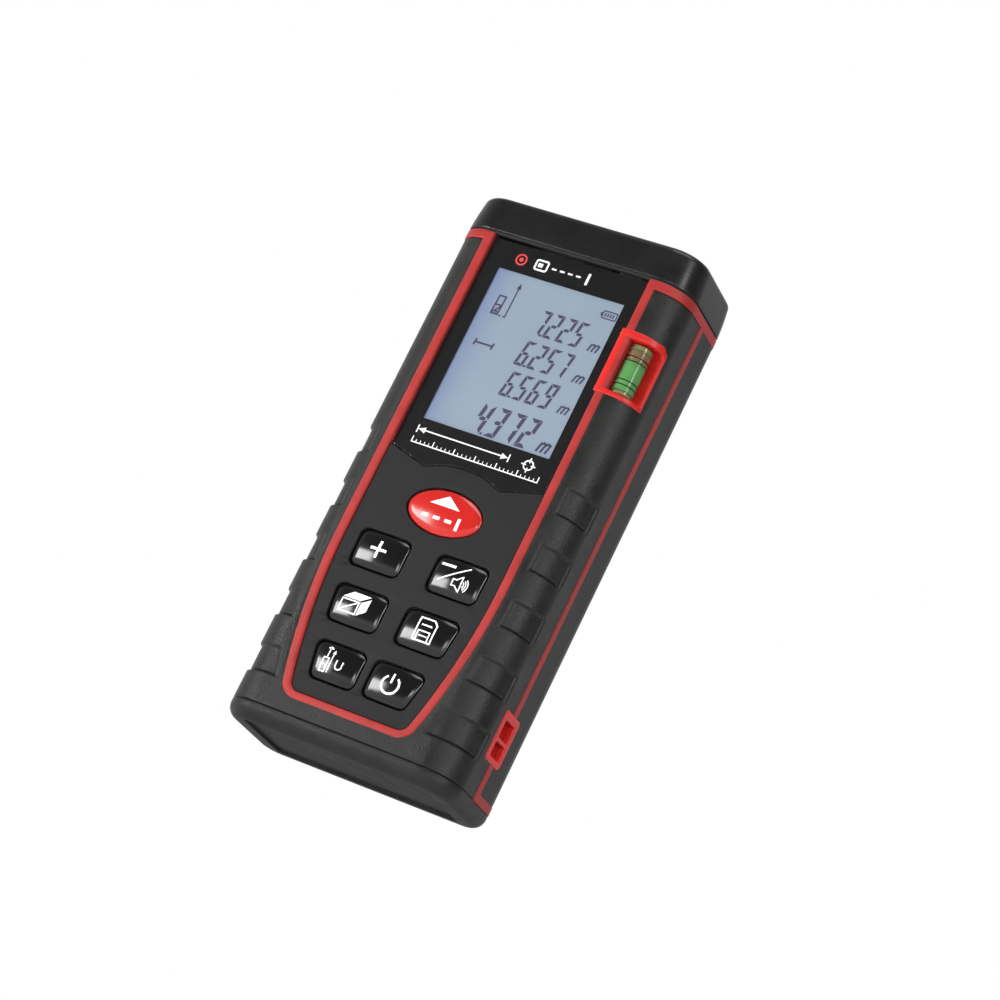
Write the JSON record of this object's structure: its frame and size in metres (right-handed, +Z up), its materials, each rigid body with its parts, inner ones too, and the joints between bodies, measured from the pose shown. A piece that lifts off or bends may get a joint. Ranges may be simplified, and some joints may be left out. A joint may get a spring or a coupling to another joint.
{
  "type": "laser distance meter",
  "caption": "Slim handheld laser distance meter with a backlit display, glossy keys, a bubble level, soft pocketed grips, a battery bay and an optics end.",
  "frame": {"origin": "centre of the foot's end face, so the meter stands upright on z = 0", "axes": "+Z up from the foot to the laser end, +Y from the display side to the back, +X to the right of someone who faces the display"},
  "size_m": [0.05, 0.025, 0.112],
  "materials": {
    "red_plastic": "fine satin moulded plastic, a little glossier on the raised line and the vial pocket",
    "gloss_red": "high gloss domed key",
    "black_plastic": "fine spark-eroded texture",
    "panel_black": "smooth matt",
    "soft_black": "matt soft-touch elastomer with a fine grain",
    "gloss_black": "smooth glossy",
    "dark_rubber": "matt",
    "lens_glass": "clear, coated",
    "window_clear": "clear polished acrylic",
    "lcd_glass": "backlit reflective liquid crystal cell, blue grey",
    "vial_clear": "clear cast acrylic",
    "vial_green": "dyed spirit",
    "vial_bubble": "air bubble",
    "cast_metal": "as cast",
    "brass": "turned",
    "steel": "nickel plated",
    "dark_steel": "black zinc",
    "board": "solder mask",
    "flex_film": "polyimide film",
    "silicone": "translucent grey silicone",
    "white_plastic": "white moulded",
    "cell_wrap": "plain shrink sleeve with a bright metal end",
    "label": "blank satin foil"
  },
  "bodies": {
    "case": {"front_housing": "red_plastic", "rear_housing": "black_plastic", "grip_overmould": "soft_black", "end_cap": "gloss_black", "cap_gasket": "dark_rubber", "optics_panel": "gloss_black", "emitter_window": "lens_glass", "receiver_lens": "lens_glass", "lens_retainer": "black_plastic", "optical_chassis": "cast_metal", "laser_barrel": "brass", "laser_diode": "steel", "collimator_lens": "lens_glass", "photodiode_board": "board", "photodiode": "steel", "flex_cable": "flex_film", "main_pcb": "board", "processor_chip": "black_plastic", "rf_shield": "steel", "buzzer": "black_plastic", "tact_switches": "steel", "zebra_connector": "silicone", "lcd_glass": "lcd_glass", "lcd_backlight": "white_plastic", "lcd_bracket": "white_plastic", "display_window": "window_clear", "window_tape": "dark_rubber", "face_plate": "panel_black", "key_mat": "silicone", "vial_tube": "vial_clear", "vial_liquid": "vial_green", "vial_plugs": "vial_clear", "lanyard_eyelet": "red_plastic", "battery_1": "cell_wrap", "battery_2": "cell_wrap", "battery_springs": "steel", "battery_plates": "steel", "case_screws": "dark_steel", "pcb_screws": "steel", "chassis_screws": "steel", "rating_label": "label"},
    "read_key": {"read_key": "gloss_red"},
    "plus_key": {"plus_key": "gloss_black"},
    "minus_key": {"minus_key": "gloss_black"},
    "area_key": {"area_key": "gloss_black"},
    "save_key": {"save_key": "gloss_black"},
    "reference_key": {"reference_key": "gloss_black"},
    "clear_key": {"clear_key": "gloss_black"},
    "battery_door": {"battery_door": "black_plastic"},
    "bubble": {"vial_bubble": "vial_bubble"}
  },
  "joints": [
    {"name": "read_key_press", "type": "slide", "parent": "case", "child": "read_key", "axis": [0, 1, 0], "range_m": [0, 0.0008], "stiffness_N_per_m": 1500, "springref_m": -0.0002},
    {"name": "plus_key_press", "type": "slide", "parent": "case", "child": "plus_key", "axis": [0, 1, 0], "range_m": [0, 0.0008], "stiffness_N_per_m": 1500, "springref_m": -0.0002},
    {"name": "minus_key_press", "type": "slide", "parent": "case", "child": "minus_key", "axis": [0, 1, 0], "range_m": [0, 0.0008], "stiffness_N_per_m": 1500, "springref_m": -0.0002},
    {"name": "area_key_press", "type": "slide", "parent": "case", "child": "area_key", "axis": [0, 1, 0], "range_m": [0, 0.0008], "stiffness_N_per_m": 1500, "springref_m": -0.0002},
    {"name": "save_key_press", "type": "slide", "parent": "case", "child": "save_key", "axis": [0, 1, 0], "range_m": [0, 0.0008], "stiffness_N_per_m": 1500, "springref_m": -0.0002},
    {"name": "reference_key_press", "type": "slide", "parent": "case", "child": "reference_key", "axis": [0, 1, 0], "range_m": [0, 0.0008], "stiffness_N_per_m": 1500, "springref_m": -0.0002},
    {"name": "clear_key_press", "type": "slide", "parent": "case", "child": "clear_key", "axis": [0, 1, 0], "range_m": [0, 0.0008], "stiffness_N_per_m": 1500, "springref_m": -0.0002},
    {"name": "battery_door_hinge", "type": "hinge", "parent": "case", "child": "battery_door", "pos_m": [0, 0.0113, 0.0606], "axis": [1, 0, 0], "range_deg": [0, 85]},
    {"name": "bubble_slide", "type": "slide", "parent": "case", "child": "bubble", "axis": [0, 0, 1], "range_m": [-0.006, 0], "stiffness_N_per_m": 1, "springref_m": 0.002}
  ]
}
